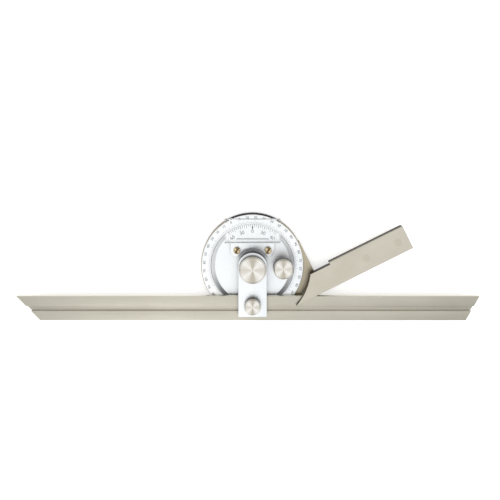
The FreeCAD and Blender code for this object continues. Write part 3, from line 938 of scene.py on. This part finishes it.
def buildMagnifier():
    low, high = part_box("magnifier")
    bottom = dialTop + magnifier["rise"]
    border = magnifier["border"]
    slant = magnifier["slant"]
    ease = magnifier["ease"]
    foot = magnifier["footHalf"]
    # places along X, each with 1 where the block stands on its foot
    stations = [(low.x, 0), (low.x + ease, 0), (low.x + border, 0), (low.x + border + slant, 0),
                (-foot, 0), (-foot, 1), (foot, 1), (foot, 0), (high.x - border - slant, 0),
                (high.x - border, 0), (high.x - ease, 0), (high.x, 0)]
    near = low.y + border + slant
    ranks = [high.y, high.y - ease]
    ranks += [high.y - ease - (high.y - ease - near) * step / magnifier["steps"]
              for step in range(1, magnifier["steps"] + 1)]
    ranks += [low.y + border, low.y + ease, low.y]
    bm = bmesh.new()
    rings = []
    for x, footed in stations:
        footZ = low.z + magnifier["footGap"] if footed else bottom
        section = [(low.y, footZ), (low.y + magnifier["footDepth"], footZ),
                   (low.y + magnifier["footDepth"], bottom), (high.y, bottom)]
        section += [(y, magnifierTop(x, y, low, high)) for y in ranks]
        rings.append([bm.verts.new((x, y, z)) for y, z in section])
    count = len(rings[0])
    for ring, following in zip(rings, rings[1:]):
        for index in range(count):
            nextIndex = (index + 1) % count
            bm.faces.new((ring[index], ring[nextIndex], following[nextIndex], following[index]))
    bm.faces.new(rings[0])
    bm.faces.new(rings[-1])
    bmesh.ops.remove_doubles(bm, verts=bm.verts, dist=magnifier["weld"])
    bmesh.ops.dissolve_degenerate(bm, edges=bm.edges, dist=magnifier["sliver"])
    piece = finishMesh("magnifierBlock", bm, magnifier["smoothAngle"])
    placePiece(piece, "turret_group", "clear_glass", clearGlass, "magnifier")
    # painted shade: a dark strip along the lower edge of the front face
    bm = bmesh.new()
    inset = magnifier["lineInset"]
    front = box((low.x + 2 * inset, low.y + inset),
                (high.x - 2 * inset, low.y + inset + magnifier["lineDepth"]))
    extrudeOutline(bm, front, bottom + inset, bottom + magnifier["lineHeight"])
    placePiece(finishMesh("magnifierEdgeShade", bm), "turret_group", "clear_glass", markBlack,
               "magnifier")


buildMagnifier()
print("magnifier ready")


# CAD nodes that show as they are

nodeMaterials = {
    "base_plate": shadedBaseSteel, "stock_bar": stockSteel, "stock_plugs": plugSteel,
    "stock_pins": screwSteel, "ring_gear": screwSteel, "centre_stud": screwSteel,
    "clamp_key": screwSteel, "clamp_screw": screwSteel, "centre_washer": screwSteel,
    "pinion_shaft": screwSteel, "pinion_bush": groundSteel}


def paintNodes():
    for node, material in nodeMaterials.items():
        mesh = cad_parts[node].data
        if mesh.materials:
            for index in range(len(mesh.materials)):
                mesh.materials[index] = material
        else:
            mesh.materials.append(material)


paintNodes()
print("node materials set")


# floor, lamps and camera

studio = {"floorSize": 6.0, "floorDrop": 0.02 * mm, "floorColour": (0.93, 0.93, 0.93),
          "mottleShade": 0.985, "whiteLift": 0.45, "worldStrength": 0.66,
          "keyPlace": (-0.28, -0.7, 0.5), "keySize": 0.6, "keyPower": 0.7,
          "fillPlace": (-0.02, -0.12, 0.9), "fillSize": 1.8, "fillPower": 4.1}
view = {"place": (-1.63 * mm, 75.5 * mm, 275.0 * mm), "lens": 29.647, "sensor": 36.0, "shift": -0.2}


def buildFloor():
    half = studio["floorSize"] / 2
    bm = bmesh.new()
    bm.faces.new([bm.verts.new((x, y, -studio["floorDrop"]))
                  for x, y in box((-half, -half), (half, half))])
    floor = finishMesh("floor", bm)
    material, tree, shader = newMaterial("floorPaper")
    coords = tree.nodes.new("ShaderNodeTexCoord")
    mottle = addNode(tree, "ShaderNodeTexNoise", {"Scale": 30.0, "Detail": 3.0})
    tree.links.new(coords.outputs["Object"], mottle.inputs["Vector"])
    pale = studio["floorColour"]
    shaded = [part * studio["mottleShade"] for part in pale]
    tree.links.new(mixColours(tree, mottle.outputs["Fac"], pale, shaded),
                   shader.inputs["Base Color"])
    shader.inputs["Roughness"].default_value = 0.95
    shader.inputs["Specular IOR Level"].default_value = 0.1
    shader.inputs["Emission Color"].default_value = (1, 1, 1, 1)
    path = tree.nodes.new("ShaderNodeLightPath")
    seen = addNode(tree, "ShaderNodeMath", operation="ADD", use_clamp=True)
    tree.links.new(path.outputs["Is Camera Ray"], seen.inputs[0])
    tree.links.new(path.outputs["Is Glossy Ray"], seen.inputs[1])
    through = addNode(tree, "ShaderNodeMath", operation="ADD", use_clamp=True)
    tree.links.new(seen.outputs["Value"], through.inputs[0])
    tree.links.new(path.outputs["Is Transmission Ray"], through.inputs[1])
    lift = addNode(tree, "ShaderNodeMath", {1: studio["whiteLift"]}, operation="MULTIPLY")
    tree.links.new(through.outputs["Value"], lift.inputs[0])
    tree.links.new(lift.outputs["Value"], shader.inputs["Emission Strength"])
    floor.data.materials.append(material)


def buildWorld():
    world = bpy.data.worlds.new("studioWorld")
    bpy.context.scene.world = world
    world.use_nodes = True
    background = world.node_tree.nodes["Background"]
    background.inputs["Color"].default_value = (1, 1, 1, 1)
    background.inputs["Strength"].default_value = studio["worldStrength"]


def addLamp(name, place, size, power):
    data = bpy.data.lights.new(name, "AREA")
    data.shape = "DISK"
    data.size = size
    data.energy = power
    lamp = addObject(name, data)
    lamp.location = place
    lamp.rotation_euler = (-Vector(place)).to_track_quat("-Z", "Y").to_euler()


def buildCamera():
    data = bpy.data.cameras.new("camera")
    data.lens = view["lens"]
    data.sensor_width = view["sensor"]
    data.shift_y = view["shift"]
    data.clip_start = 0.01
    camera = addObject("camera", data)
    camera.location = view["place"]
    bpy.context.scene.camera = camera


buildFloor()
buildWorld()
addLamp("keyLamp", studio["keyPlace"], studio["keySize"], studio["keyPower"])
addLamp("fillLamp", studio["fillPlace"], studio["fillSize"], studio["fillPower"])
buildCamera()
bpy.context.scene.view_settings.view_transform = "Standard"
print("studio ready")
